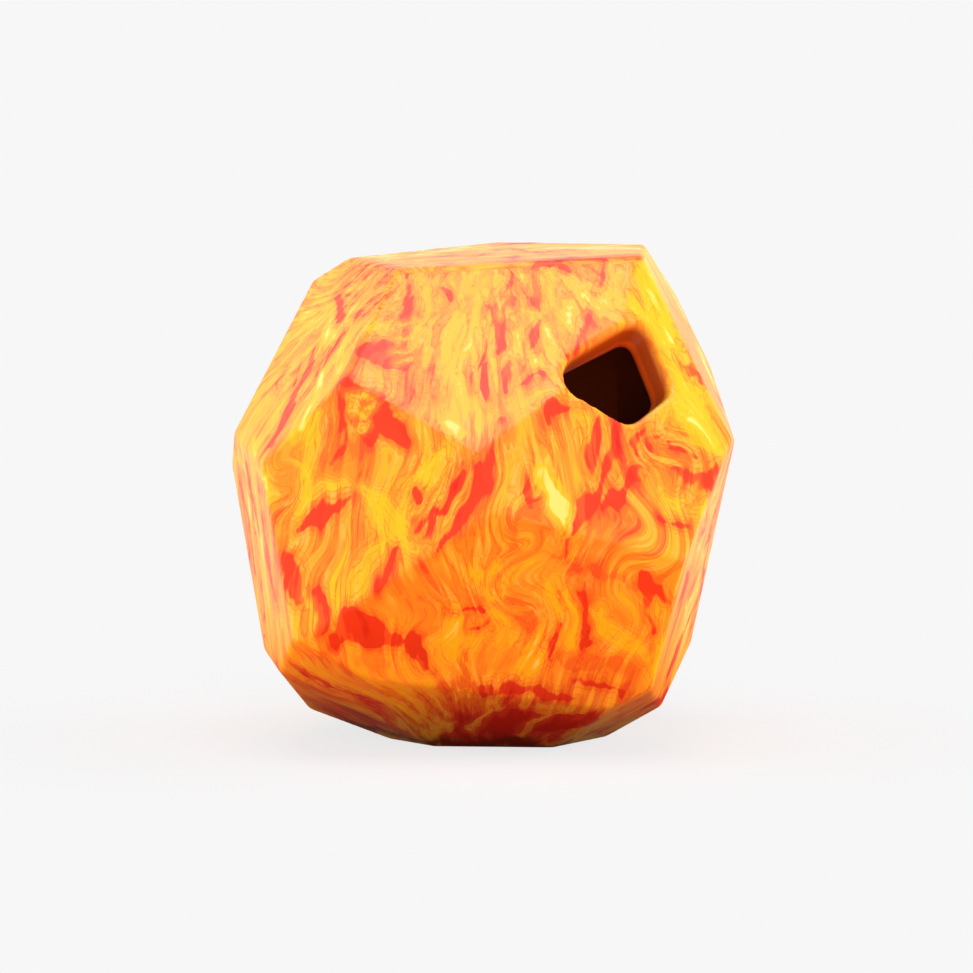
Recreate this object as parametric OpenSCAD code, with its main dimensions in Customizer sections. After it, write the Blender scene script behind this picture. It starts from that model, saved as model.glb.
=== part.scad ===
// Hollow rubber chew toy shaped like a cut rock, with one five-sided mouth for treats.
// The origin is on the flat facet that the toy rests on, straight below the middle of the rock.
// +Z is up, and the mouth faces -Y and upward.

/* [Rock] */
// Nominal radius of the rock, which every facet's distance follows
rock_r = 42; // [34:0.5:60]
// Thickness of the rubber wall, the same behind every facet
wall = 5; // [4:0.5:8]

/* [Mouth] */
// Width of the mouth across its longest side
mouth_w = 17; // [12:0.5:20]
// Radius of the mouth's corners
mouth_corner_r = 2; // [1:0.25:2.5]
// Angle of the mouth's axis above level
mouth_rise = 34; // [25:1:40]

/* [Join] */
// Thickness of the cured line that bonds the two moulded halves
bond_t = 0.4; // [0.2:0.1:1]

/* [Hidden] */
$fn = 48;
// Each facet: turn from the mouth's side towards +X, rise above level, reach as a share of rock_r
facet_shares = [
    [0, -90, 0.975], // flat facet that the toy rests on
    [-98, 86.5, 0.958], // top
    [-42, 42.5, 0.83], // upper left of the mouth
    [-24, 22.5, 0.875], // below the mouth
    [-63, 10, 0.86], // left front
    [-38, -24, 0.85], // lower front
    [-6, 33, 0.99], // right of the mouth
    [-108, 39, 0.905], // upper left side
    [-117, -7, 0.94], // left side
    [38, -17, 0.94], // lower right front
    [45, 28, 1.035], // upper right front
    [-77, -55, 0.985], // bottom left
    [-45, -52, 0.935], // bottom front
    [13, -60, 1.045], // bottom right front
    [-90, -59.5, 0.998], // bottom, far left
    [-153, -14, 0.878], // back left, low
    [-145, 18, 0.967], // back left, high
    [-125, -36, 1.06], // small corner facet at the left
    [171, 62, 1.05], // back of the top
    [110, 50, 1.06], // right of the top
    [57, -4, 0.91], // right front side
    [78, 9, 0.985], // right side
    [132, 12, 0.93], // back right, high
    [137, -27, 0.92], // back right, low
    [177, -3, 0.93], // back
    [72, -48, 1.04], // bottom right
    [-154, -72, 1.025], // bottom, back left
    [127, -62, 0.96], // bottom, back right
];
// Corners of the mouth in the plane square to its axis, as shares of mouth_w
mouth_corner_shares = [[-0.47, 0.03], [0.03, -0.5], [0.5, -0.3], [0.51, 0.43], [-0.37, 0.27]];
// Height of the middle of the rock over the facet that it rests on
centre_z = facet_shares[0][2] * rock_r;
// Side of the blocks that cut the rock, wide enough to cover it whole
block = 4 * rock_r;

// Solid on the inner side of one facet
module facet_block(turn, rise, reach)
    rotate([0, -rise, turn - 90])
        translate([reach - block, -block / 2, -block / 2])
            cube(block);

// The rock, with every facet moved in by inset
module rock(inset)
    translate([0, 0, centre_z])
        intersection_for(facet = facet_shares)
            facet_block(facet[0], facet[1], facet[2] * rock_r - inset);

// Places its child at the middle of the rock with +Z along the mouth's axis
module along_mouth()
    translate([0, 0, centre_z])
        rotate([90 - mouth_rise, 0, 0])
            children();

// Everything past the given height on the mouth's axis
module beyond(height)
    translate([-block / 2, -block / 2, height])
        cube(block);

function unit(v) = v / norm(v);

// Centre of the arc that rounds one corner of the mouth
function arc_centre(before, corner, after) =
    let (to_before = unit(before - corner), to_after = unit(after - corner))
        corner + unit(to_before + to_after) * mouth_corner_r / sin(acos(to_before * to_after) / 2);

function mouth_corner(i) = mouth_corner_shares[i % len(mouth_corner_shares)] * mouth_w;

// Five-sided hole with rounded corners, from the middle of the rock outward
module mouth_hole() {
    count = len(mouth_corner_shares);
    centres = [for (i = [0 : count - 1])
        arc_centre(mouth_corner(i + count - 1), mouth_corner(i), mouth_corner(i + 1))];
    linear_extrude(block / 2)
        union() {
            polygon(centres);
            for (i = [0 : count - 1]) {
                side = centres[(i + 1) % count] - centres[i];
                translate(centres[i]) {
                    circle(mouth_corner_r);
                    rotate(atan2(side[1], side[0]))
                        translate([0, -mouth_corner_r])
                            square([norm(side), 2 * mouth_corner_r]);
                }
            }
        }
}

// Moulded half with the mouth, in orange and yellow marbled rubber
module mouth_shell() {
    color("orange")
        difference() {
            intersection() {
                rock(0);
                along_mouth() beyond(bond_t / 2);
            }
            rock(wall);
            along_mouth() mouth_hole();
        }
}

// Moulded half that the toy rests on, in the same rubber
module base_shell() {
    color("darkorange")
        difference() {
            rock(0);
            rock(wall);
            along_mouth() beyond(-bond_t / 2);
        }
}

// Thin ring of cured rubber between the two halves
module bond_line() {
    color("gold")
        difference() {
            intersection() {
                rock(0);
                along_mouth() beyond(-bond_t / 2);
            }
            rock(wall);
            along_mouth() beyond(bond_t / 2);
        }
}

mouth_shell();
base_shell();
bond_line();
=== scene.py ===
import math

import bpy
import numpy as np
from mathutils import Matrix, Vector
from mathutils.bvhtree import BVHTree


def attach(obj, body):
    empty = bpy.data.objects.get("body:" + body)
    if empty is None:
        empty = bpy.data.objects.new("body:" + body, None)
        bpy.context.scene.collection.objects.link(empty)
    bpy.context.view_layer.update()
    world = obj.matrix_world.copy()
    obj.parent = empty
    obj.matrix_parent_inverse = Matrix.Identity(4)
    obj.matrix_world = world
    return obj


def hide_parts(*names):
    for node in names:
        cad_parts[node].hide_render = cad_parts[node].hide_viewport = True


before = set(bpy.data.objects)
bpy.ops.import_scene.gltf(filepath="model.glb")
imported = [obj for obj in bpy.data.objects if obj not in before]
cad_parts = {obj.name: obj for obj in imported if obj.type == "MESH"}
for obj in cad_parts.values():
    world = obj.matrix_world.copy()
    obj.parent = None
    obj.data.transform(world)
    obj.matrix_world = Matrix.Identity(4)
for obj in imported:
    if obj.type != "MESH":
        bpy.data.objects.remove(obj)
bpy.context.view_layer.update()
mm = 0.001

# How the photograph was taken: the camera's turn and rise in degrees, its distance and what it takes in from
# side to side in metres, the sensor in millimetres, and the pixel where the rock's middle is
photo = dict(azimuth=-41.0, elevation=6.5, distance=1.2, frameAcross=0.16353, sensor=36.0,
             width=973, rockMiddle=(481.0, 496.0))


# Small helpers

def deselectAll():
    if bpy.context.object and bpy.context.object.mode != "OBJECT":
        bpy.ops.object.mode_set(mode="OBJECT")
    bpy.ops.object.select_all(action="DESELECT")


def makeActive(piece):
    deselectAll()
    piece.select_set(True)
    bpy.context.view_layer.objects.active = piece


def applyModifiers(piece):
    makeActive(piece)
    for modifier in list(piece.modifiers):
        bpy.ops.object.modifier_apply(modifier=modifier.name)


def bisectAway(piece, point, normal):
    # cuts off all that lies beyond the plane, and closes the cut
    makeActive(piece)
    bpy.ops.object.mode_set(mode="EDIT")
    bpy.ops.mesh.select_all(action="SELECT")
    bpy.ops.mesh.bisect(plane_co=point, plane_no=normal, use_fill=True, clear_outer=True, threshold=1e-6)
    bpy.ops.object.mode_set(mode="OBJECT")


def linear(hexColour):
    # sRGB hex to the linear values that the shaders take
    parts = [int(hexColour[i:i + 2], 16) / 255 for i in (1, 3, 5)]
    return tuple(p / 12.92 if p <= 0.04045 else ((p + 0.055) / 1.055) ** 2.4 for p in parts) + (1.0,)


def addNode(tree, kind, inputs=None, **settings):
    # an input is a plain value, another node's socket, or a node, which stands for its first output
    node = tree.nodes.new("ShaderNode" + kind)
    for name, value in settings.items():
        setattr(node, name, value)
    for name, value in (inputs or {}).items():
        if isinstance(value, bpy.types.Node):
            value = value.outputs[0]
        if isinstance(value, bpy.types.NodeSocket):
            tree.links.new(value, node.inputs[name])
        else:
            node.inputs[name].default_value = value
    return node


# The rock: one block cut by every facet, pierced, softened and hollowed

rock = dict(
    middle=(0, 0, 40.95), block=120.0, wall=5.0,  # millimetres
    voxel=0.44, softening=0.5, edgePasses=11,  # the skin's mesh, and how much its edges are softened
    rimPasses=22, rimReach=17.0, rimFade=4.0,  # the same for the mouth's rim, and where it ends
    rimLeast=0.7, rimGain=0.3, rimTilt=(0.6, 0.8), rimTiltReach=5.0,  # how it differs round the mouth
    smoothAngle=50)  # degrees
mouth = dict(
    rise=34.0, discRadius=8.0, cornerRound=1.9, cornerSegments=6,  # rise in degrees, lengths in millimetres
    corners=[(-7.3, -0.2), (0.5, -8.5), (8.5, -5.1), (8.7, 7.3), (-5.1, 4.8)],
    flareFrom=36.0, flareTo=46.0, flareLean=0.28, flareGrowth=1.3)
bond = dict(thickness=0.4)  # millimetres

middle = Vector(rock["middle"]) * mm
rise = math.radians(mouth["rise"])
mouthAxis = Vector((0, -math.cos(rise), math.sin(rise)))
mouthUp = Vector((0, math.sin(rise), math.cos(rise)))
mouthRight = Vector((1, 0, 0))


def readFacets():
    # planes of the frame's solids that all of the rock lies behind
    nodes = [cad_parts[name] for name in ("mouth_shell", "base_shell")]
    points = np.concatenate([[v.co for v in node.data.vertices] for node in nodes])
    slack, smallestFace = 2e-6, 1e-7  # metres, square metres
    found = {}
    for node in nodes:
        for face in node.data.polygons:
            normal = np.array(face.normal)
            reach = float(normal @ np.array(node.data.vertices[face.vertices[0]].co))
            if (points @ normal).max() < reach + slack and face.area > smallestFace:
                found.setdefault(tuple(np.round(normal, 3)), (Vector(face.normal), reach))
    return [found[key] for key in sorted(found)]


def cutRock(name, inset):
    deselectAll()
    bpy.ops.mesh.primitive_cube_add(size=rock["block"] * mm, location=middle)
    piece = bpy.context.object
    piece.name = piece.data.name = name
    for normal, reach in facets:
        bisectAway(piece, normal * (reach - inset * mm), normal)
    bpy.ops.object.transform_apply(location=True, rotation=True, scale=True)
    return piece


def makeMouthOutline(name, height=0.0, lean=0.0):
    # a five-cornered disc on the mouth's plane, its corners moved to the mouth's and rounded
    deselectAll()
    bpy.ops.mesh.primitive_circle_add(
        vertices=len(mouth["corners"]), radius=mouth["discRadius"] * mm, fill_type="NGON",
        location=middle, rotation=(math.radians(90 - mouth["rise"]), 0, 0))
    disc = bpy.context.object
    disc.name = disc.data.name = name
    bpy.ops.object.transform_apply(location=True, rotation=True, scale=True)

    def turn(place):
        return math.atan2((place - middle).dot(mouthUp), (place - middle).dot(mouthRight))

    goals = [middle + (mouthRight * right + mouthUp * up + mouthAxis * (height + lean * right)) * mm
             for right, up in mouth["corners"]]
    goals.sort(key=turn)
    order = sorted(range(len(goals)), key=lambda i: turn(disc.data.vertices[i].co))
    for vertex, goal in zip(order, goals):
        bpy.ops.object.mode_set(mode="EDIT")
        bpy.ops.mesh.select_mode(type="VERT")
        bpy.ops.mesh.select_all(action="DESELECT")
        bpy.ops.object.mode_set(mode="OBJECT")
        disc.data.vertices[vertex].select = True
        move = goal - disc.data.vertices[vertex].co
        bpy.ops.object.mode_set(mode="EDIT")
        bpy.ops.transform.translate(value=move)
        bpy.ops.object.mode_set(mode="OBJECT")
    bpy.ops.object.mode_set(mode="EDIT")
    bpy.ops.mesh.select_all(action="SELECT")
    bpy.ops.mesh.bevel(affect="VERTICES", offset=mouth["cornerRound"] * mm, segments=mouth["cornerSegments"])
    return disc


def makeMouthCutter():
    cutter = makeMouthOutline("mouthCutter")
    bpy.ops.mesh.select_all(action="SELECT")
    bpy.ops.mesh.extrude_region_move(TRANSFORM_OT_translate={"value": mouthAxis * (rock["block"] / 2 * mm)})
    bpy.ops.mesh.select_all(action="SELECT")
    bpy.ops.mesh.normals_make_consistent(inside=False)
    bpy.ops.object.mode_set(mode="OBJECT")
    return cutter


def makeFlareCutter():
    # widens the mouth's outer half from its lowest corner, so its two lower sides stay as they are
    cutter = makeMouthOutline("flareCutter", mouth["flareFrom"], mouth["flareLean"])
    lowest = min(mouth["corners"], key=lambda corner: corner[1])
    top = middle + (mouthRight * lowest[0] + mouthUp * lowest[1]) * mm + mouthAxis * (mouth["flareTo"] * mm)
    bpy.ops.mesh.select_all(action="SELECT")
    bpy.ops.mesh.extrude_region_move(
        TRANSFORM_OT_translate={"value": mouthAxis * ((mouth["flareTo"] - mouth["flareFrom"]) * mm)})
    bpy.ops.transform.resize(value=(mouth["flareGrowth"],) * 3, center_override=top)
    bpy.ops.mesh.select_all(action="SELECT")
    bpy.ops.mesh.normals_make_consistent(inside=False)
    bpy.ops.object.mode_set(mode="OBJECT")
    return cutter


def readPlaces(piece):
    flat = np.empty(len(piece.data.vertices) * 3, dtype=np.float32)
    piece.data.vertices.foreach_get("co", flat)
    return flat.reshape(-1, 3).astype(np.float64)


def cutAway(piece, tools, solver):
    # takes each tool's shape out of the piece, and the tools out of the scene
    for tool in tools:
        hollow = piece.modifiers.new("hollow", "BOOLEAN")
        hollow.operation, hollow.solver, hollow.object = "DIFFERENCE", solver, tool
    applyModifiers(piece)
    for tool in tools:
        bpy.data.objects.remove(tool, do_unlink=True)


facets = readFacets()
print("facets read from the frame:", len(facets))
body = cutRock("toyBody", 0.0)
outerRock = BVHTree.FromPolygons([v.co for v in body.data.vertices],
                                 [face.vertices for face in body.data.polygons])
cutAway(body, [makeMouthCutter(), makeFlareCutter()], "EXACT")

remesh = body.modifiers.new("evenSkin", "REMESH")
remesh.mode, remesh.voxel_size, remesh.use_smooth_shade = "VOXEL", rock["voxel"] * mm, True
soften = body.modifiers.new("softEdges", "SMOOTH")
soften.factor, soften.iterations = rock["softening"], rock["edgePasses"]
applyModifiers(body)

# the rim of the mouth is rounder than the other edges, and roundest at its upper right
place = readPlaces(body) - np.array(middle)
right, up, along = place @ np.array(mouthRight), place @ np.array(mouthUp), place @ np.array(mouthAxis)
rimShare = np.clip((rock["rimReach"] * mm - np.hypot(right, up)) / (rock["rimFade"] * mm), 0, 1) * (along > 0)
tilted = right * rock["rimTilt"][0] + up * rock["rimTilt"][1]
rimShare *= np.clip(rock["rimLeast"] + rock["rimGain"] * tilted / (rock["rimTiltReach"] * mm),
                    rock["rimLeast"], 1.0)
group = body.vertex_groups.new(name="rim")
for share in np.unique(np.round(rimShare, 1)):
    if share > 0:
        group.add(np.nonzero(np.round(rimShare, 1) == share)[0].tolist(), float(share), "REPLACE")
soften = body.modifiers.new("softRim", "SMOOTH")
soften.factor, soften.iterations = rock["softening"], rock["rimPasses"]
soften.vertex_group = "rim"
applyModifiers(body)
body.vertex_groups.clear()

# the cavity is cut last, so its flat walls stay a few large faces
cutAway(body, [cutRock("cavityCutter", rock["wall"])], "MANIFOLD")
print("rock cut, softened and hollowed:", len(body.data.polygons), "faces")

# The photograph's view, which the marks on the front of the rock are placed in

turn, lift = math.radians(photo["azimuth"]), math.radians(photo["elevation"])
viewBack = Vector((math.sin(turn) * math.cos(lift), -math.cos(turn) * math.cos(lift), math.sin(lift)))
viewRight = Vector((math.cos(turn), math.sin(turn), 0))
viewUp = viewBack.cross(viewRight)
perPixel = photo["frameAcross"] / photo["width"]
aim = (middle + viewRight * ((photo["width"] / 2 - photo["rockMiddle"][0]) * perPixel)
       + viewUp * ((photo["rockMiddle"][1] - photo["width"] / 2) * perPixel))
eye = aim + viewBack * photo["distance"]


def onRock(x, y):
    # the place on the uncut rock that a pixel of the photograph shows
    goal = (aim + viewRight * ((x - photo["width"] / 2) * perPixel)
            - viewUp * ((y - photo["width"] / 2) * perPixel))
    hit, normal, face, distance = outerRock.ray_cast(eye, (goal - eye).normalized())
    return hit if hit else outerRock.find_nearest(goal)[0]


# Marbling: streaks of each colour of rubber, where the photograph shows them

# each streak is a row of points: pixel across, pixel down, half the streak's width in pixels

redStreaks = dict(
    crease=[(571, 524, 1), (569, 545, 1.5), (568, 563, 1.8)],
    undersideCrease=[(276, 662, 0.8), (330, 686, 1.2), (379, 707, 0.8)],
    patchUpperLeft=[(360, 350, 6), (380, 352, 15), (402, 359, 13)],
    speckleColumn=[(405, 276, 2), (407, 320, 3), (404, 370, 3)],
    tearDropTop=[(446, 290, 4), (449, 298, 4), (452, 309, 1)],
    hairLine=[(487, 365, 1), (490, 388, 1.6), (493, 409, 1)],
    flameTail=[(489, 303, 2), (493, 320, 4), (499, 335, 5), (499, 350, 1)],
    flameMiddle=[(499, 301, 2), (499, 320, 5), (499, 334, 3)],
    flameRight=[(511, 300, 2), (506, 320, 4), (500, 335, 3)],
    downLine=[(515, 256, 5), (511, 275, 3), (504, 299, 1.5)],
    shortBar=[(508, 357, 2), (510, 372, 4), (509, 391, 3)],
    archTop=[(537, 284, 2), (537, 268, 4), (553, 263, 4), (568, 270, 2)],
    archLeg=[(536, 270, 2), (534, 290, 1.4), (538, 311, 1)],
    chip=[(541, 319, 3), (535, 333, 5), (529, 350, 1)],
    dash=[(521, 383, 1.5), (531, 378, 2), (541, 373, 2)],
    lineIntoMouth=[(606, 262, 1.4), (596, 298, 2), (587, 318, 2.2), (586, 328, 2), (574, 353, 2),
                   (566, 362, 1.5)],
    topSpot=[(497, 250, 3), (512, 248, 4), (527, 252, 3)],
    fleckByEdge=[(684, 360, 1.5), (692, 372, 3), (699, 386, 3)],
    wavyLine=[(499, 417, 1.5), (493, 440, 2.5), (489, 461, 3), (485, 485, 3.5), (474, 509, 1.5)],
    crescent=[(578, 404, 1.5), (563, 401, 4.5), (554, 406, 6), (549, 415, 4.5), (549, 427, 1.5)],
    bigDrop=[(600, 420, 1.5), (597, 432, 6.5), (592, 445, 8.5), (590, 457, 6.5), (592, 471, 1.5)],
    longStripe=[(616, 420, 3), (612, 440, 4), (610, 461, 4), (605, 484, 4.5), (595, 497, 7), (584, 507, 8),
                (578, 520, 5), (575, 532, 1.5)],
    smallDrop=[(530, 466, 1), (530, 482, 4.5), (529, 494, 8.5), (529, 503, 7), (531, 514, 1)],
    wedge=[(672, 466, 1), (684, 475, 3.5), (697, 482, 4.5), (710, 490, 5.5)],
    kite=[(606, 511, 3), (618, 497, 6), (630, 483, 6), (638, 472, 2)],
    lowDash=[(661, 521, 2), (682, 527, 3.5), (704, 533, 3)],
    swirlOuter=[(652, 423, 1.5), (639, 430, 3), (633, 443, 3.5), (636, 458, 1.5)],
    swirlMiddle=[(664, 428, 1), (651, 437, 1.4), (650, 452, 1.4)],
    swirlInner=[(668, 440, 1), (682, 452, 1.6), (696, 462, 1.6)],
    leftPatch=[(350, 384, 5), (364, 396, 9), (380, 412, 12), (394, 428, 12), (405, 441, 5)],
    leftPatchFoot=[(372, 437, 9), (352, 420, 6)],
    leftHook=[(343, 380, 2), (344, 444, 2), (330, 462, 1.5)],
    risingFlame=[(299, 529, 4), (315, 520, 8), (332, 508, 5), (349, 496, 1.5)],
    slantStroke=[(464, 470, 2), (453, 488, 4), (443, 507, 2.5)],
    longCurve=[(480, 465, 2), (479, 482, 4.5), (474, 500, 5), (463, 517, 4.5), (450, 532, 4), (434, 548, 2)],
    spot=[(415, 491, 4), (419, 497, 4)],
    cornerWedge=[(395, 548, 3), (385, 568, 5), (375, 587, 2)],
    lowLeftPatch=[(285, 560, 6), (293, 580, 10), (299, 602, 7)],
    lowLeftLoop=[(318, 588, 6), (321, 610, 8), (319, 634, 6)],
    lowerPatch=[(336, 640, 5), (350, 624, 15), (370, 630, 16), (390, 640, 8)],
    lowerPatchFoot=[(405, 640, 7), (418, 652, 9), (429, 667, 4)],
    lowerRightChip=[(641, 576, 4), (646, 589, 7), (650, 608, 3), (652, 630, 1.5)],
    lowerRightBar=[(646, 580, 4), (660, 586, 5), (667, 597, 3)],
    middleDrip=[(583, 594, 1.2), (586, 610, 2), (584, 628, 2.5), (586, 646, 1.5)],
    middleSpot=[(587, 636, 3), (594, 644, 3)],
    dripLow=[(553, 626, 1.5), (550, 644, 2.5), (546, 660, 1.5)],
    shortBarOne=[(451, 611, 1), (466, 612, 1.6), (483, 609, 1)],
    shortBarTwo=[(472, 628, 1), (482, 628, 1.6), (491, 626, 1)],
    brushTrail=[(335, 686, 1.5), (354, 693, 2.5), (377, 703, 1.5)],
    undersideEdge=[(481, 690, 4), (510, 686, 5), (545, 692, 5), (572, 697, 3)],
    undersideLine=[(573, 678, 1.5), (598, 686, 2), (623, 694, 1.5)],
    sideBlock=[(338, 297, 5), (339, 319, 5)],
    sideStripe=[(316, 346, 2), (310, 362, 4), (303, 380, 5), (292, 402, 5), (280, 428, 4), (270, 448, 3)],
    lowCornerPatch=[(306, 671, 4), (316, 678, 6), (329, 687, 4)],
    undersideLeft=[(452, 736, 8), (478, 720, 13), (505, 716, 15)],
    undersideRight=[(505, 728, 15), (545, 722, 18), (588, 722, 12)],
    edgeStreakOne=[(246, 462, 4), (253, 500, 6), (258, 530, 3)],
    edgeStreakTwo=[(262, 520, 3), (270, 570, 7), (276, 604, 4)],
    edgeStreakThree=[(240, 478, 3), (248, 520, 4), (254, 570, 3)],
    rightStreakOne=[(718, 461, 1.5), (714, 470, 3.5), (709, 482, 3)],
    rightStreakTwo=[(687, 572, 5), (684, 586, 9), (681, 598, 5)],
    rightStreakThree=[(681, 640, 6), (675, 656, 10), (668, 674, 6)],
    rightStreakFour=[(710, 530, 3), (700, 590, 4), (690, 630, 3)],
    lowerRightCorner=[(666, 694, 5), (656, 702, 6), (640, 712, 3)],
)
yellowStreaks = dict(
    leftBand=[(319, 412, 3), (313, 440, 7), (309, 470, 7), (304, 498, 3)],
    leftFlame=[(298, 509, 1.5), (312, 499, 6), (330, 488, 5), (346, 480, 1)],
    bigPool=[(362, 486, 2), (376, 504, 10), (394, 526, 15), (408, 540, 10), (418, 552, 2)],
    slantBandOne=[(410, 504, 1.5), (428, 474, 8), (450, 443, 1)],
    slantBandTwo=[(428, 544, 1.5), (448, 512, 9), (466, 486, 6), (478, 470, 1)],
    longStroke=[(386, 532, 1), (368, 562, 8), (354, 588, 8), (340, 616, 1)],
    loopStripe=[(325, 590, 2), (328, 610, 3), (328, 630, 2)],
    lowBlockOne=[(454, 603, 2), (455, 618, 7), (454, 640, 7), (454, 656, 2)],
    lowFlame=[(508, 684, 1), (528, 664, 9), (550, 647, 1.5)],
    lowStreakOne=[(552, 587, 3), (556, 642, 4)],
    lowStreakTwo=[(570, 591, 3), (574, 642, 4)],
    lowPool=[(590, 610, 2), (608, 628, 8), (630, 646, 8), (648, 661, 1.5)],
    rightBand=[(665, 587, 5), (660, 630, 6), (656, 673, 4)],
    underMouth=[(526, 409, 1.5), (542, 397, 7), (556, 392, 7), (570, 391, 2)],
    rightPool=[(668, 494, 1.5), (684, 503, 8), (698, 509, 9), (710, 515, 3)],
    rightOfMouth=[(686, 420, 8), (702, 436, 13), (719, 452, 6)],
    goldColumn=[(419, 260, 4), (421, 288, 9), (421, 316, 8), (418, 336, 2)],
    archGold=[(549, 266, 2), (549, 280, 8), (553, 299, 2)],
    overMouth=[(615, 262, 3), (608, 288, 7), (615, 302, 10), (632, 308, 3)],
    sideFacetTop=[(648, 280, 10), (660, 320, 14), (680, 360, 14)],
    sideFacetFoot=[(684, 380, 14), (700, 418, 11), (716, 440, 6)],
    sideGold=[(352, 284, 5), (346, 330, 6), (338, 372, 5)],
)
paleStreaks = dict(
    ridge=[(333, 304, 3), (327, 348, 5), (316, 397, 5), (303, 425, 3)],
    tip=[(446, 424, 2), (456, 430, 4), (465, 436, 2)],
    uprightOne=[(462, 262, 0.3), (466, 340, 1.4), (463, 421, 0.3)],
    uprightTwo=[(477, 270, 0.3), (479, 350, 1.1), (474, 431, 0.3)],
    centreFlame=[(543, 464, 2.5), (547, 482, 7.5), (552, 499, 12), (560, 512, 10), (568, 524, 5),
                 (574, 534, 1)],
    topOne=[(390, 258, 4), (450, 250, 5)],
    topTwo=[(540, 249, 4), (640, 248, 5)],
    rightEdgeOne=[(660, 270, 3), (682, 312, 4), (700, 350, 4), (716, 392, 3)],
)
# painted shade: dark streaks along the underside's bottom edge, where it meets the floor
paintedShadeStreaks = dict(
    undersideFoot=[(430, 744, 7), (500, 743, 11), (560, 746, 7)],
    undersideStreak=[(350, 722, 1), (400, 736, 3), (430, 744, 4)],
)
orangeStreaks = dict(
    leftOval=[(272, 460, 6), (284, 475, 13), (290, 490, 8)],
    leftSmooth=[(336, 474, 8), (352, 460, 11), (366, 452, 8)],
    brownSlab=[(530, 524, 8), (548, 532, 12), (564, 544, 8)],
    goldSlab=[(486, 560, 9), (510, 558, 9)],
    rightSlab=[(586, 544, 7), (604, 547, 10), (622, 552, 7)],
    lowSlabLeft=[(412, 590, 9), (440, 584, 11), (480, 596, 14), (520, 596, 12)],
    lowSlabMiddle=[(480, 668, 8), (500, 652, 12), (510, 630, 8)],
    lowSlabRight=[(600, 614, 10), (620, 620, 12), (630, 636, 10)],
    lowStrip=[(356, 658, 5), (370, 661, 6), (386, 664, 5)],
    underMouthLeft=[(508, 430, 7), (506, 460, 6)],
    underMouth=[(566, 420, 7), (562, 446, 7), (556, 470, 4)],
    underMouthRight=[(632, 470, 6), (650, 486, 8), (660, 506, 7)],
    lowLeftGround=[(340, 540, 8), (326, 560, 8)],
)
rustStreaks = dict(
    lowBlock=[(562, 656, 8), (588, 662, 11), (614, 666, 8)],
    middleBand=[(590, 570, 2.5), (612, 578, 5), (636, 590, 4)],
    middleArc=[(500, 596, 2), (530, 600, 3), (556, 616, 3)],
    mottleTop=[(506, 512, 4), (512, 528, 5), (516, 550, 3)],
    shortLine=[(534, 554, 1.5), (546, 553, 2.5), (559, 556, 1.5)],
    # these three streaks along the underside darken it, partly as painted shade
    bottomLeft=[(300, 696, 4), (340, 712, 6), (400, 730, 7)],
    bottomRight=[(604, 730, 4), (648, 712, 4)],
    bottomMiddle=[(440, 690, 4), (470, 684, 3)],
)
# Streaks that lie over the red ones
overStreaks = dict(
    redZoneTop=[(352, 394, 1.5), (362, 396, 2.5), (372, 399, 1.2)],
    redZoneMiddle=[(352, 414, 2), (362, 411, 4.5), (373, 407, 2.5)],
    redZoneLow=[(355, 431, 2), (361, 427, 5), (367, 424, 2.5)],
    patchStrokeOne=[(413, 322, 1.8), (397, 324, 0.8)],
    patchStrokeTwo=[(413, 336, 1.8), (396, 339, 0.8)],
    patchStrokeThree=[(413, 349, 1.8), (393, 352, 0.8)],
    patchStrokeFour=[(412, 359, 2.4), (396, 362, 1.2)],
    archInside=[(541, 276, 2), (543, 290, 3)],
    flameSplit=[(505, 292, 1.2), (504, 318, 1.2)],
    loopInside=[(309, 600, 1.5), (312, 620, 2), (311, 636, 1.5)],
    undersideFleckOne=[(470, 728, 1.5), (482, 716, 2.5), (490, 706, 1.5)],
    undersideFleckTwo=[(522, 738, 2), (534, 724, 3), (548, 714, 1.5)],
    undersideFleckThree=[(430, 736, 1.5), (446, 724, 2)],
)
# Brushed places, in pixels: middle, spread, strokes, their angle in degrees, length, half width and colour
brushedPlaces = dict(
    leftRed=((374, 294), (20, 26), 30, 32, 15, 1.6, "red"),
    leftPale=((378, 300), (24, 30), 16, 32, 13, 1.3, "pale"),
    patchYellow=((384, 350), (17, 22), 14, -12, 16, 1.1, "yellow"),
    wedgeYellow=((372, 410), (22, 24), 12, -8, 14, 1.2, "yellow"),
    uprightRed=((500, 330), (22, 60), 6, 84, 26, 0.8, "red"),
    uprightPale=((474, 345), (26, 70), 14, 89, 50, 0.8, "pale"),
    slantYellow=((436, 490), (34, 34), 20, 58, 26, 1.8, "yellow"),
    slantRed=((440, 495), (36, 34), 4, 58, 20, 1.2, "red"),
    lowRust=((556, 606), (72, 40), 16, 12, 26, 1.8, "rust"),
    lowGold=((540, 610), (70, 42), 14, 70, 18, 2.0, "yellow"),
    sideRed=((310, 370), (30, 40), 5, 64, 30, 1.2, "red"),
    sidePale=((300, 380), (30, 44), 5, 66, 34, 1.6, "pale"),
    edgeRed=((254, 570), (10, 70), 12, -80, 34, 1.0, "red"),
    rightEdgeRed=((700, 540), (10, 60), 10, 76, 34, 1.0, "red"),
    upperEdgeRed=((692, 330), (8, 40), 8, -62, 34, 0.8, "red"),
    topRed=((500, 252), (90, 3), 12, 4, 30, 0.8, "red"),
    # painted reflection: these pale strokes on the left and right sides stand in for the pale veil they
    # reflect
    leftSidePaintedReflection=((252, 540), (12, 90), 12, -80, 44, 2.2, "pale"),
    rightSidePaintedReflection=((698, 580), (12, 80), 12, 76, 44, 2.6, "pale"),
    undersideGold=((530, 725), (50, 8), 10, 70, 14, 1.5, "yellow"),
)
# How much the strokes differ: degrees, then shares of the length and the half width
strokes = dict(turn=7, reach=(0.3, 0.8), width=(0.5, 1.4), bend=0.12, tip=0.3)
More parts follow.
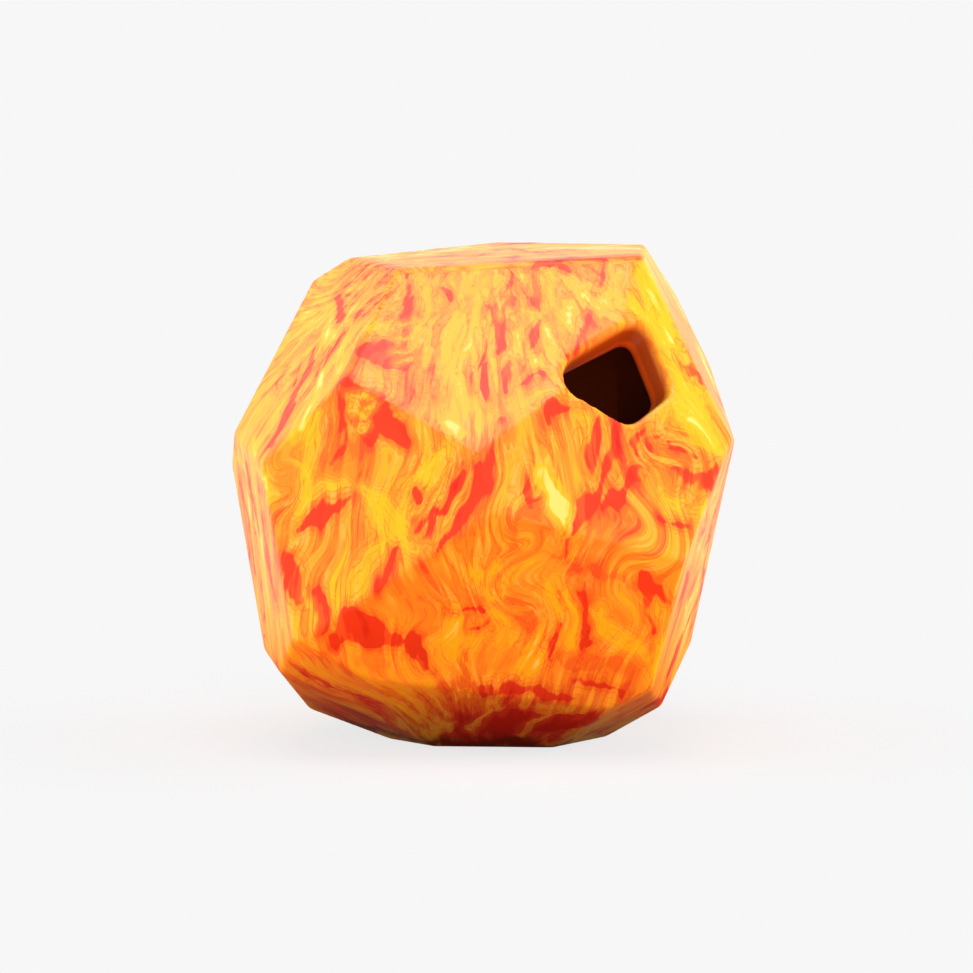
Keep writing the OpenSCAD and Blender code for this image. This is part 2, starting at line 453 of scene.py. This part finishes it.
# Streaks on the sides that the photograph doesn't show, in millimetres. They lean by two waves, each with its
# height, length and shift, and are kept to where the rock turns away from the camera
unseenStreaks = dict(seed=11, count=250, length=(6, 30), halfWidth=(0.2, 1.8), knees=(0.3, 0.4), tip=0.2,
                     bend=0.2, leanWaves=((0.5, 17, 0.0), (0.6, 21, 1.3)), leanSpread=0.15, facing=-0.02,
                     colours=("red", "red", "rust", "yellow", "yellow", "orange", "pale"))
# Soft spots, in pixels: across, down, radius and amount
fields = dict(
    # painted light among the warmth spots: those below zero at the top, on the upper front and upper left,
    # and on the left and right sides pale the rubber partly as painted sheen and reflection; (328, 674) pales
    # the underside's upper left as painted bounce light; (530, 730), (350, 712) and (480, 735) redden the
    # underside partly as painted shade
    warmth=[(480, 300, 40, -0.02), (620, 250, 60, -0.08), (680, 380, 45, -0.16), (420, 250, 60, -0.18),
            (340, 420, 50, 0.06), (330, 560, 60, 0.07), (520, 610, 90, 0.02), (600, 500, 70, 0.05),
            (350, 480, 50, 0.08), (400, 590, 40, 0.05), (600, 270, 40, -0.03), (528, 360, 40, -0.1),
            (545, 315, 34, -0.2), (460, 360, 40, -0.02), (530, 730, 60, 0.35), (300, 350, 50, -0.08),
            (560, 470, 60, 0.05), (420, 252, 40, -0.2), (520, 250, 50, -0.28), (610, 248, 40, -0.2),
            (620, 285, 30, -0.14), (255, 520, 40, -0.24), (268, 610, 40, -0.22), (704, 540, 40, -0.2),
            (686, 620, 40, -0.1), (440, 500, 40, 0.06), (350, 712, 60, 0.34), (630, 712, 40, 0.1),
            (328, 674, 28, -0.2), (500, 655, 50, -0.13), (580, 650, 50, -0.06), (480, 735, 60, 0.3)],
    mottle=[(430, 385, 34, 0.4), (284, 510, 34, 0.4), (536, 530, 34, 0.35), (560, 600, 50, 0.25),
            (374, 300, 34, 0.3), (400, 655, 40, 0.25), (575, 660, 34, 0.25)],
)
warmthLimits = (-0.4, 0.5)
# The same on the other sides: how many, radius in millimetres, and amounts
unseenSpots = dict(count=12, radius=(7, 13), warmth=(-0.12, 0.12), mottle=(-0.3, 0.3))
# Where the strips were stirred as they were folded: pixel across and down, radius in pixels, and how far
# they turn there, in degrees counterclockwise from upright
stirs = dict(
    leftFront=(424, 488, 62, -36), upperLeftBrushed=(372, 300, 46, -58), redPatchEdge=(392, 356, 22, -50),
    leftSide=(300, 372, 50, -26), rightStrip=(696, 336, 50, 28), rightOfMouth=(690, 410, 36, 24),
    swirlRight=(668, 448, 30, 84), lowerRight=(640, 548, 38, -92), underMouth=(592, 440, 24, -12),
    leftOval=(286, 474, 24, 130), lowArc=(520, 604, 40, 76), lowRight=(616, 612, 30, 60),
    lowLeft=(432, 632, 34, -60), leftCorner=(320, 560, 30, -34), rightEdge=(690, 600, 60, -14),
    bottomLeft=(350, 698, 60, 64), wavy=(500, 490, 26, -14), mottleSpot=(524, 530, 26, 90),
    redZone=(384, 410, 26, -60))
# The same on the other sides: how many, radius in millimetres, degrees
unseenStirs = dict(count=26, radius=(4, 11), turn=(-110, 110))
# The streaks' outlines curl by three sets of waves, each with its length and height in millimetres
curls = dict(waves=9, sizes=((6.0, 0.55), (2.6, 0.42), (1.2, 0.2)))
# How the strips lie, in millimetres: the radius of their arcs, how blunt the arcs' pole is, and how deep the
# top facet's own strips go
stripLay = dict(arcRadius=40.0, arcBlunt=16.0, topDepth=0.8)

# Painting: what the streaks and spots come to at each point of the skin

# how hot each streak is, from pale at 0 to deep red at 1, in the order that they lie over one another
streakHeat = dict(orange=0.53, rust=0.66, yellow=0.22, pale=0.12, red=0.84, over=0.3)
streakNames = tuple(streakHeat) + ("paintedShade",)
paintNames = streakNames + ("warmth", "mottle", "inward")
paintedShare = 0.7  # of the wall's thickness
farOutside = -4.0  # a streak's depth in millimetres, where it isn't near
rng = np.random.default_rng(unseenStreaks["seed"])
normals = np.array([list(normal) for normal, reach in facets])
reaches = np.array([reach for normal, reach in facets])
places = readPlaces(body)
inward = (reaches - places @ normals.T).min(axis=1) / mm  # how far below the facets, in millimetres
skin = np.nonzero(inward < rock["wall"] * paintedShare)[0]
skinPlaces = places[skin]
paint = {name: np.full(len(skin), farOutside) for name in streakNames}
paint.update({name: np.zeros(len(skin)) for name in fields})


def drift(size, shift):
    # moves each place along the skin by a few slow waves, which makes the streaks' outlines curl
    moved = np.zeros_like(skinPlaces)
    for wave in range(curls["waves"]):
        across = rng.normal(size=3) * 2 / size
        push = rng.normal(size=3) * shift / math.sqrt(curls["waves"])
        moved += np.sin(skinPlaces @ across + rng.uniform(0, 2 * math.pi))[:, None] * push
    outward = skinPlaces - np.array(middle)
    outward /= np.linalg.norm(outward, axis=1)[:, None]
    return moved - outward * (moved * outward).sum(axis=1)[:, None]


def addStreak(colour, points, widths):
    # how deep each place lies inside the streak, in millimetres, and less than zero outside it
    depth = paint[colour]
    for start, end, startWidth, endWidth in zip(points, points[1:], widths, widths[1:]):
        span = end - start
        length2 = max(float(span @ span), 1e-12)  # the length squared, never nought
        nearBy = math.sqrt(length2) / 2 + max(startWidth, endWidth) - farOutside * mm
        near = np.nonzero((np.abs(curledPlaces - (start + end) / 2) < nearBy).all(axis=1))[0]
        offset = curledPlaces[near] - start
        share = np.clip(offset @ span / length2, 0, 1)
        away = np.linalg.norm(offset - share[:, None] * span, axis=1)
        depth[near] = np.maximum(depth[near], (startWidth + (endWidth - startWidth) * share - away) / mm)


def addPhotoStreak(colour, path):
    addStreak(colour, [np.array(onRock(x, y)) for x, y, halfWidth in path],
              [halfWidth * perPixel for x, y, halfWidth in path])


def addSpot(field, centre, radius, amount):
    away = np.linalg.norm(skinPlaces - centre, axis=1)
    paint[field] += amount * np.exp(-(away / radius) ** 2)


def fromMiddle(direction):
    # the place where a line from the rock's middle comes out of it, and the facet's normal there
    hit, normal, face, distance = outerRock.ray_cast(middle, direction)
    return hit, (normal if normal.dot(direction) > 0 else -normal)


def randomUnseenPlace():
    while True:
        direction = Vector(rng.normal(size=3)).normalized()
        hit, normal = fromMiddle(direction)
        if normal.dot(viewBack) < unseenStreaks["facing"]:
            return hit, normal


def unroll(points):
    # the strips run up over the rock in upright arcs, so a place is given by its side and its height along
    # the arc; on the top facet they run straight across
    offset = points - np.array(middle)
    outward = np.sqrt(offset[:, 0] ** 2 + offset[:, 1] ** 2 + (stripLay["arcBlunt"] * mm) ** 2)
    arc = np.arctan2(offset[:, 2], outward)
    arcs = np.stack([offset[:, 0] / outward, offset[:, 1] / outward, arc], axis=1)
    arcs = arcs * stripLay["arcRadius"] * mm
    straight = np.stack([offset @ np.array(viewBack), offset[:, 2], offset @ np.array(viewRight)], axis=1)
    topNormal, topReach = max(facets, key=lambda facet: facet[0].z)
    onTop = points @ np.array(topNormal) > topReach - stripLay["topDepth"] * mm
    return np.where(onTop[:, None], straight, arcs)


def stir(centre, radius, turn):
    # turns the strips about a centre, most in its middle and hardly beyond its radius
    share = np.exp(-(np.linalg.norm(skinPlaces - centre, axis=1) / radius) ** 2)[:, None]
    angle = -math.radians(turn) * share
    centre = unroll(centre[None, :])[0]
    axis = np.array((centre[0], centre[1], 0)) / math.hypot(centre[0], centre[1])
    offset = stirred - centre
    turned = (offset * np.cos(angle) + np.cross(axis, offset) * np.sin(angle)
              + axis * (offset @ axis)[:, None] * (1 - np.cos(angle)))
    return centre + turned


curledPlaces = skinPlaces + sum(drift(size * mm, shift * mm) for size, shift in curls["sizes"])

for colour, streaks in dict(orange=orangeStreaks, rust=rustStreaks, yellow=yellowStreaks, pale=paleStreaks,
                            red=redStreaks, over=overStreaks, paintedShade=paintedShadeStreaks).items():
    for path in streaks.values():
        addPhotoStreak(colour, path)

for at, spread, count, degrees, length, halfWidth, colour in brushedPlaces.values():
    for stroke in range(count):
        x, y = np.array(at) + rng.uniform(-1, 1, 2) * spread
        angle = math.radians(degrees + rng.normal() * strokes["turn"])
        reach = length * rng.uniform(*strokes["reach"])
        width = halfWidth * rng.uniform(*strokes["width"])
        bend = rng.normal() * reach * strokes["bend"]
        tip = width * strokes["tip"]
        dx, dy = math.cos(angle), -math.sin(angle)
        addPhotoStreak(colour, [(x - dx * reach, y - dy * reach, tip), (x + dy * bend, y - dx * bend, width),
                                (x + dx * reach, y + dy * reach, tip)])

for streak in range(unseenStreaks["count"]):
    place, normal = randomUnseenPlace()
    lean = sum(height * math.sin(coordinate / (length * mm) + shift)
               for coordinate, (height, length, shift) in zip(place, unseenStreaks["leanWaves"]))
    lean += rng.normal() * unseenStreaks["leanSpread"]
    side = normal.cross(Vector((0, 0, 1))).normalized()
    along = (normal.cross(side).normalized() + side * lean).normalized()
    reach = rng.uniform(*unseenStreaks["length"]) * mm / 2
    narrow, wide = unseenStreaks["halfWidth"]
    width = (rng.uniform(0, 1) ** 2 * wide + narrow) * mm
    tip = width * unseenStreaks["tip"]
    bend = side * (rng.normal() * reach * unseenStreaks["bend"])
    back, forth = unseenStreaks["knees"]
    row = [place - along * reach, place - along * reach * back + bend, place + along * reach * forth - bend,
           place + along * reach]
    row = [np.array(fromMiddle((point - middle).normalized())[0]) for point in row]
    addStreak(rng.choice(unseenStreaks["colours"]), row, [tip, width, width, tip])

stirred = unroll(skinPlaces)
for x, y, radius, degrees in stirs.values():
    stirred = stir(np.array(onRock(x, y)), radius * perPixel, degrees)
for number in range(unseenStirs["count"]):
    place, normal = randomUnseenPlace()
    radius = rng.uniform(*unseenStirs["radius"]) * mm
    stirred = stir(np.array(place), radius, rng.uniform(*unseenStirs["turn"]))

for field, spots in fields.items():
    for x, y, radius, amount in spots:
        addSpot(field, np.array(onRock(x, y)), radius * perPixel, amount)
    for spot in range(unseenSpots["count"]):
        place, normal = randomUnseenPlace()
        radius = rng.uniform(*unseenSpots["radius"]) * mm
        addSpot(field, np.array(place), radius, rng.uniform(*unseenSpots[field]))
paint["warmth"] = paint["warmth"].clip(*warmthLimits)

strips = places.copy()
strips[skin] = stirred
attribute = body.data.attributes.new("strips", "FLOAT_VECTOR", "POINT")
attribute.data.foreach_set("vector", strips.astype(np.float32).ravel())
for name in paintNames:
    if name == "inward":
        values = inward
    else:
        values = np.full(len(places), farOutside if name in streakNames else 0.0)
        values[skin] = paint[name]
    attribute = body.data.attributes.new(name, "FLOAT", "POINT")
    attribute.data.foreach_set("value", values.astype(np.float32))
print("skin painted:", len(skin), "points")

# The rubber

# natural rubber, pressed in a mould from coloured strips folded together: a satin skin, sharp-edged swirls
# of solid colour, and the faint relief of the strips

rubber = dict(
    pale="#FADB74", yellow="#F8BC1E", gold="#F7B026", amber="#F79E2A", orange="#F28E26", deepOrange="#E57422",
    rust="#DA561E", redOrange="#E65628", red="#D53A1C", deepRed="#C42012", paintedShade="#7A1C06",
    # the mouth's wall, lip and cavity colours below are painted light inside the mouth: painted shade on the
    # wall and in the cavity, and a painted highlight on the inner lip
    mouthWallShade="#963A04", lipHighlight="#B5480E", cavityShade="#92360E", sheen="#FFF0E0",
    # the strips' width and length, and the size and height of their wandering, in millimetres
    bandWidth=2.6, bandLength=28.0, threadWidth=0.55, threadLength=20.0, waver=0.3, speckSize=0.8,
    swirlSize=19.0, swirlShift=4.4, curlSize=5.0, curlShift=0.5,
    # the ground's heat, and how much bands and threads change it
    groundHeat=0.46, bandContrast=1.1, threadContrast=0.5,
    # how far the noises move a streak's edge, how soft it and its halo are, in millimetres, and their shares
    bandWander=1.5, threadWander=0.45, speckWander=3.5, edgeSoft=0.4, haloSoft=2.2, haloShare=0.4,
    streakContrast=0.45,
    # nested outlines round some streaks, in millimetres
    ringed=("red", "yellow"), ringGap=0.8, ringReach=3.0, ringNear=0.5, ringEdge=(0.15, 0.03),
    ringStrength=0.55,
    # thin lines: how often the noises fold into them, and the heats and patches that they show in; then the
    # painted shade that darkens the underside along its bottom edge
    lineThreads=0.8, lineBands=4.0, lineGap=0.85, lineCool=(0.16, 0.34), lineHot=(0.72, 0.62),
    patchSize=9.0, linePatches=(0.38, 0.52), lines=((0.12, 0.03, 0.6, "rust"), (0.38, 0.48, 0.3, "pale")),
    paintedShadeBands=1.5, paintedShadeSpan=(-1.65, 1.95),
    # depths in millimetres between which painted shade darkens the mouth's wall, then a painted highlight
    # # lightens its inner lip, then painted shade darkens the cavity
    mouthPaintedShade=((0.2, 1.9, "mouthWallShade"), (3.4, 3.9, "lipHighlight"), (4.3, 4.9, "cavityShade")),
    heatStops=((0.00, "pale"), (0.11, "pale"), (0.16, "yellow"), (0.26, "yellow"), (0.30, "gold"),
               (0.38, "gold"), (0.42, "amber"), (0.49, "amber"), (0.53, "orange"), (0.60, "orange"),
               (0.64, "deepOrange"), (0.69, "deepOrange"), (0.74, "redOrange"), (0.79, "redOrange"),
               (0.83, "red"), (0.92, "red"), (1.00, "deepRed")),
    # the mould's grain is about 0.1 mm, too fine to show, and is drawn at 0.35 mm
    stripRelief=0.06, stripStrength=0.5, grainSize=0.35, grainRelief=0.03, grainStrength=0.3,
    roughness=(0.3, 0.43), glossSpecks=(0.3, 0.7), ior=1.52, specular=0.36,
    sheenWeight=0.05, sheenRoughness=0.4)


def fillRamp(ramp, stops):
    while len(ramp.elements) > 1:
        ramp.elements.remove(ramp.elements[-1])
    ramp.elements[0].position, ramp.elements[0].color = stops[0][0], linear(rubber[stops[0][1]])
    for position, colour in stops[1:]:
        ramp.elements.new(position).color = linear(rubber[colour])


def makeNoises(tree):
    # the strips run upright where they weren't stirred, and wander by a slow bend and by small curls
    bent = addNode(tree, "Attribute", attribute_name="strips").outputs["Vector"]
    for size, shift in (("swirlSize", "swirlShift"), ("curlSize", "curlShift")):
        swirl = addNode(tree, "TexNoise", {"Vector": bent, "Scale": 1 / (rubber[size] * mm), "Detail": 1.5})
        centred = addNode(tree, "VectorMath", {0: swirl.outputs["Color"], 1: (0.5, 0.5, 0.5)},
                          operation="SUBTRACT")
        bent = addNode(tree, "VectorMath", {0: centred, 1: (rubber[shift] * mm,) * 3, 2: bent},
                       operation="MULTIPLY_ADD")

    # broad bands and fine threads are noises drawn out along the strips; specks aren't drawn out
    noises = []
    for width, length, detail in (("bandWidth", "bandLength", 1.0), ("threadWidth", "threadLength", 2.0)):
        laid = addNode(tree, "Mapping", {
            "Vector": bent, "Scale": (rubber[width] * mm, rubber[width] * mm, rubber[length] * mm)},
            vector_type="TEXTURE")
        noises.append(addNode(tree, "TexNoise", {
            "Vector": laid, "Scale": 1.0, "Detail": detail, "Roughness": 0.5, "Distortion": rubber["waver"]}))
    noises.append(addNode(tree, "TexNoise", {
        "Vector": bent, "Scale": 1 / (rubber["speckSize"] * mm), "Detail": 2.0, "Roughness": 0.6}))
    return noises


def makeHeat(tree, painted, noises):
    # heat runs from pale strips at 0 to deep red ones at 1; warmth moves a whole place towards red, and
    # mottle breaks it up into specks
    band, thread, speck = [addNode(tree, "Math", {0: noise, 1: 0.5}, operation="SUBTRACT")
                           for noise in noises]
    ground = addNode(tree, "Math", {0: painted["warmth"], 1: rubber["groundHeat"]}, operation="ADD")
    for noise, share in ((band, rubber["bandContrast"]), (thread, rubber["threadContrast"]),
                         (speck, painted["mottle"])):
        ground = addNode(tree, "Math", {0: noise, 1: share, 2: ground}, operation="MULTIPLY_ADD")
    above = addNode(tree, "Math", {0: ground, 1: rubber["groundHeat"]}, operation="SUBTRACT")

    # the placed streaks pull the heat to their own, their edges drawn out by the same bands and threads
    mottled = addNode(tree, "Math", {0: speck, 1: painted["mottle"]}, operation="MULTIPLY")
    wander = 0.0
    for noise, share in ((mottled, "speckWander"), (thread, "threadWander"), (band, "bandWander")):
        wander = addNode(tree, "Math", {0: noise, 1: rubber[share], 2: wander}, operation="MULTIPLY_ADD")
    heat, rings = ground, 0.0
    for streak, goal in streakHeat.items():
        depth = addNode(tree, "Math", {0: painted[streak], 1: wander}, operation="ADD")
        if streak in rubber["ringed"]:
            # nested outlines, where the strips round the streak were drawn out thin
            spaced = addNode(tree, "Math", {0: depth, 1: rubber["ringGap"]}, operation="DIVIDE")
            nested = addNode(tree, "Math", {0: spaced, 1: 0.5}, operation="PINGPONG")
            closeBy = addNode(tree, "MapRange", {
                "Value": depth, "From Min": -rubber["ringReach"], "From Max": -rubber["ringNear"]})
            ring = addNode(tree, "MapRange", {
                "Value": nested, "From Min": rubber["ringEdge"][0], "From Max": rubber["ringEdge"][1],
                "To Max": closeBy})
            rings = addNode(tree, "Math", {0: rings, 1: ring}, operation="MAXIMUM")
        halo = addNode(tree, "MapRange", {
            "Value": depth, "From Min": -rubber["haloSoft"], "From Max": 0.0, "To Max": rubber["haloShare"]},
            interpolation_type="SMOOTHSTEP")
        mask = addNode(tree, "MapRange", {
            "Value": depth, "From Min": -rubber["edgeSoft"], "From Max": rubber["edgeSoft"] / 2,
            "To Min": halo}, interpolation_type="SMOOTHSTEP")
        own = addNode(tree, "Math", {0: above, 1: rubber["streakContrast"], 2: goal},
                      operation="MULTIPLY_ADD")
        heat = addNode(tree, "Mix", {0: mask, 2: heat, 3: own}, data_type="FLOAT")
    return heat, rings


def makeColour(tree, coords, painted, noises, heat, rings):
    base = addNode(tree, "ValToRGB", {"Fac": heat})
    fillRamp(base.color_ramp, rubber["heatStops"])
    band, thread, speck = noises
    layers = []  # a share and a colour each, every one laid over those before it

    # thin lines where one strip is pulled out over the next, in patches and at middling heat
    folds = 0.0
    for noise, share in ((band, "lineBands"), (thread, "lineThreads")):
        folds = addNode(tree, "Math", {0: noise, 1: rubber[share] / rubber["lineGap"], 2: folds},
                        operation="MULTIPLY_ADD")
    folded = addNode(tree, "Math", {0: folds, 1: 0.5}, operation="PINGPONG")
    patchy = addNode(tree, "TexNoise", {
        "Vector": coords, "Scale": 1 / (rubber["patchSize"] * mm), "Detail": 2.0})
    cooler = addNode(tree, "MapRange", {
        "Value": heat, "From Min": rubber["lineHot"][0], "From Max": rubber["lineHot"][1]})
    middling = addNode(tree, "MapRange", {
        "Value": heat, "From Min": rubber["lineCool"][0], "From Max": rubber["lineCool"][1],
        "To Max": cooler})
    where = addNode(tree, "MapRange", {
        "Value": patchy, "From Min": rubber["linePatches"][0], "From Max": rubber["linePatches"][1],
        "To Max": middling})
    for lowEnd, highEnd, strength, tint in rubber["lines"]:
        line = addNode(tree, "MapRange", {
            "Value": folded, "From Min": lowEnd, "From Max": highEnd, "To Max": strength})
        layers.append((addNode(tree, "Math", {0: line, 1: where}, operation="MULTIPLY"), tint))
    ringed = addNode(tree, "Math", {0: rings, 1: middling}, operation="MULTIPLY")
    ringed = addNode(tree, "Math", {0: ringed, 1: rubber["ringStrength"]}, operation="MULTIPLY")
    layers.append((ringed, "rust"))

    # painted shade: darker along the underside's bottom edge, and darker on the mouth's wall and in the
    # cavity
    # # the deeper they lie, with a painted highlight on the inner lip
    shade = addNode(tree, "Math", {0: band, 1: rubber["paintedShadeBands"], 2: painted["paintedShade"]},
                    operation="MULTIPLY_ADD")
    layers.append((addNode(tree, "MapRange", {
        "Value": shade, "From Min": rubber["paintedShadeSpan"][0], "From Max": rubber["paintedShadeSpan"][1]},
        interpolation_type="SMOOTHSTEP"), "paintedShade"))
    for near, far, tint in rubber["mouthPaintedShade"]:
        layers.append((addNode(tree, "MapRange", {
            "Value": painted["inward"], "From Min": near, "From Max": far}), tint))

    colour = base.outputs["Color"]
    for share, tint in layers:
        colour = addNode(tree, "Mix", {0: share, 6: colour, 7: linear(rubber[tint])},
                         data_type="RGBA").outputs[2]
    return colour


def makeMarbledRubber(name):
    material = bpy.data.materials.new(name)
    material.use_nodes = True
    tree = material.node_tree
    tree.nodes.clear()
    coords = addNode(tree, "TexCoord").outputs["Object"]
    painted = {paintName: addNode(tree, "Attribute", attribute_name=paintName).outputs["Fac"]
               for paintName in paintNames}
    noises = makeNoises(tree)
    heat, rings = makeHeat(tree, painted, noises)
    colour = makeColour(tree, coords, painted, noises, heat, rings)

    # satin skin: the strips stand a few hundredths of a millimetre proud, with the mould's grain over all
    grain = addNode(tree, "TexNoise", {
        "Vector": coords, "Scale": 1 / (rubber["grainSize"] * mm), "Detail": 2.0})
    relief = addNode(tree, "Bump", {
        "Height": heat, "Strength": rubber["stripStrength"], "Distance": rubber["stripRelief"] * mm})
    relief = addNode(tree, "Bump", {
        "Height": grain, "Strength": rubber["grainStrength"], "Distance": rubber["grainRelief"] * mm,
        "Normal": relief})
    gloss = addNode(tree, "MapRange", {
        "Value": noises[2], "From Min": rubber["glossSpecks"][0], "From Max": rubber["glossSpecks"][1],
        "To Min": rubber["roughness"][0], "To Max": rubber["roughness"][1]})
    skinShader = addNode(tree, "BsdfPrincipled", {
        "Base Color": colour, "Roughness": gloss, "IOR": rubber["ior"],
        "Specular IOR Level": rubber["specular"], "Sheen Weight": rubber["sheenWeight"],
        "Sheen Roughness": rubber["sheenRoughness"], "Sheen Tint": linear(rubber["sheen"]),
        "Normal": relief})
    addNode(tree, "OutputMaterial", {"Surface": skinShader})
    return material


marbledRubber = makeMarbledRubber("marbledNaturalRubber")

# The three pieces: the two halves and the bond between them


def copyPiece(source, name):
    piece = source.copy()
    piece.data = source.data.copy()
    piece.name = piece.data.name = name
    bpy.context.collection.objects.link(piece)
    return piece


half = bond["thickness"] / 2 * mm
mouthShell = copyPiece(body, "mouthShell")
bisectAway(mouthShell, middle + mouthAxis * half, -mouthAxis)
baseShell = copyPiece(body, "baseShell")
bisectAway(baseShell, middle - mouthAxis * half, mouthAxis)
bondLine = copyPiece(body, "bondLine")
bisectAway(bondLine, middle + mouthAxis * half, mouthAxis)
bisectAway(bondLine, middle - mouthAxis * half, -mouthAxis)
bpy.data.objects.remove(body, do_unlink=True)

for piece, node, slot in ((mouthShell, "mouth_shell", "marbled_rubber"),
                          (baseShell, "base_shell", "marbled_rubber"),
                          (bondLine, "bond_line", "bond_rubber")):
    # split into triangles here, which leaves no folded sliver where the cuts meet
    split = piece.modifiers.new("triangles", "TRIANGULATE")
    split.quad_method, split.ngon_method = "BEAUTY", "BEAUTY"
    applyModifiers(piece)
    bpy.ops.object.shade_smooth_by_angle(angle=math.radians(rock["smoothAngle"]))
    piece.data.materials.clear()
    piece.data.materials.append(marbledRubber)
    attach(piece, "root")
    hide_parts(node)
    print(piece.name, len(piece.data.polygons), "triangles")

# Floor, light and camera

# a floor of white paper, and air that lights the toy softly
studio = dict(
    # the two floor colours after the paper's are painted light for the toy: a painted shadow close to it, and
    # warm painted bounce light further out
    backdrop="#F7F7F7", shadedPaper="#E6E6E6", floorPaintedShadow="#140804", floorPaintedBounce="#FFA050",
    floorSize=8.0, shadowSpan=(0.12, 0.03), shadowShare=0.2,  # metres, like the spans below
    glowSpan=(0.027, 0.07), floorPaintedGlow=0.85, mirrorSpan=(0.055, 0.17), ambient=0.25)
# Each softbox: turn and elevation in degrees, distance and size in metres, power in watts
softboxes = dict(
    frontSoftbox=dict(turn=-33, elevation=6, distance=1.35, size=0.8, power=10.5),
    overheadSoftbox=dict(turn=-41, elevation=76, distance=1.0, size=0.7, power=4.4),
    leftSoftbox=dict(turn=-134, elevation=13, distance=1.2, size=0.8, power=12.8),
    rightSoftbox=dict(turn=58, elevation=13, distance=1.2, size=0.8, power=15.8),
)
glossBoxes = ("overheadSoftbox",)  # the others light the sides without glare


def makeFloor():
    deselectAll()
    bpy.ops.mesh.primitive_plane_add(size=studio["floorSize"], location=(0, 0, 0))
    floor = bpy.context.object
    floor.name = floor.data.name = "studioFloor"
    paper = bpy.data.materials.new("whitePaperSweep")
    paper.use_nodes = True
    tree = paper.node_tree
    tree.nodes.clear()
    place = addNode(tree, "TexCoord").outputs["Object"]
    away = addNode(tree, "VectorMath", {0: place}, operation="LENGTH").outputs["Value"]

    # the camera sees white paper, with some of the toy's shadow close to it
    near = addNode(tree, "MapRange", {
        "Value": away, "From Min": studio["shadowSpan"][0], "From Max": studio["shadowSpan"][1],
        "To Max": studio["shadowShare"]}, interpolation_type="SMOOTHSTEP")
    glow = addNode(tree, "Emission", {"Color": linear(studio["backdrop"]), "Strength": 1.0})
    lit = addNode(tree, "BsdfDiffuse", {"Color": linear(studio["shadedPaper"])})
    seen = addNode(tree, "MixShader", {0: near, 1: glow, 2: lit})

    # what the toy sees of the paper is painted light: a painted dark shadow close to it, and further out a
    # warm
    # # orange paper that glows as painted bounce light
    further = addNode(tree, "MapRange", {
        "Value": away, "From Min": studio["glowSpan"][0], "From Max": studio["glowSpan"][1]})
    paintedBounce = addNode(tree, "Mix", {
        0: further, 6: linear(studio["floorPaintedShadow"]), 7: linear(studio["floorPaintedBounce"])}, data_type="RGBA")
    matt = addNode(tree, "BsdfDiffuse", {"Color": paintedBounce.outputs[2]})
    paintedGlow = addNode(tree, "Math", {0: further, 1: studio["floorPaintedGlow"]}, operation="MULTIPLY")
    paintedGlow = addNode(tree, "Emission", {"Color": paintedBounce.outputs[2], "Strength": paintedGlow})
    matt = addNode(tree, "AddShader", {0: matt, 1: paintedGlow})
    # glosses see the paper white only away from the toy, and dark close to it as a painted shadow in its
    # reflection
    mirrored = addNode(tree, "MapRange", {
        "Value": away, "From Min": studio["mirrorSpan"][0], "From Max": studio["mirrorSpan"][1]})
    mirrored = addNode(tree, "Emission", {"Color": linear(studio["backdrop"]), "Strength": mirrored})
    rays = addNode(tree, "LightPath")
    lower = addNode(tree, "MixShader", {0: rays.outputs["Is Glossy Ray"], 1: matt, 2: mirrored})
    both = addNode(tree, "MixShader", {0: rays.outputs["Is Camera Ray"], 1: lower, 2: seen})
    addNode(tree, "OutputMaterial", {"Surface": both})
    floor.data.materials.append(paper)


def makeWorld():
    # white where the camera or a gloss sees it, and a soft light on all else
    world = bpy.data.worlds.new("studioWorld")
    bpy.context.scene.world = world
    world.use_nodes = True
    tree = world.node_tree
    tree.nodes.clear()
    white = addNode(tree, "Background", {"Color": linear(studio["backdrop"]), "Strength": 1.0})
    soft = addNode(tree, "Background", {"Color": (1, 1, 1, 1), "Strength": studio["ambient"]})
    rays = addNode(tree, "LightPath")
    direct = addNode(tree, "Math", {
        0: rays.outputs["Is Camera Ray"], 1: rays.outputs["Is Glossy Ray"]}, operation="MAXIMUM")
    both = addNode(tree, "MixShader", {0: direct, 1: soft, 2: white})
    addNode(tree, "OutputWorld", {"Surface": both})


def makeSoftbox(name, box):
    light = bpy.data.lights.new(name, "AREA")
    light.energy, light.size, light.shape = box["power"], box["size"], "DISK"
    lamp = bpy.data.objects.new(name, light)
    bpy.context.collection.objects.link(lamp)
    turn, lift = math.radians(box["turn"]), math.radians(box["elevation"])
    toLamp = Vector((math.sin(turn) * math.cos(lift), -math.cos(turn) * math.cos(lift), math.sin(lift)))
    lamp.location = middle + toLamp * box["distance"]
    lamp.rotation_euler = toLamp.to_track_quat("Z", "Y").to_euler()
    lamp.visible_glossy = name in glossBoxes


def makeCamera():
    lens = bpy.data.cameras.new("photoCamera")
    lens.sensor_width = photo["sensor"]
    lens.lens = photo["sensor"] * photo["distance"] / photo["frameAcross"]
    camera = bpy.data.objects.new("photoCamera", lens)
    bpy.context.collection.objects.link(camera)
    camera.location = eye
    camera.rotation_euler = viewBack.to_track_quat("Z", "Y").to_euler()
    bpy.context.scene.camera = camera


makeFloor()
makeWorld()
for name, box in softboxes.items():
    makeSoftbox(name, box)
makeCamera()
print("studio set:", len(softboxes), "softboxes")
bpy.context.scene.view_settings.view_transform = "Standard"
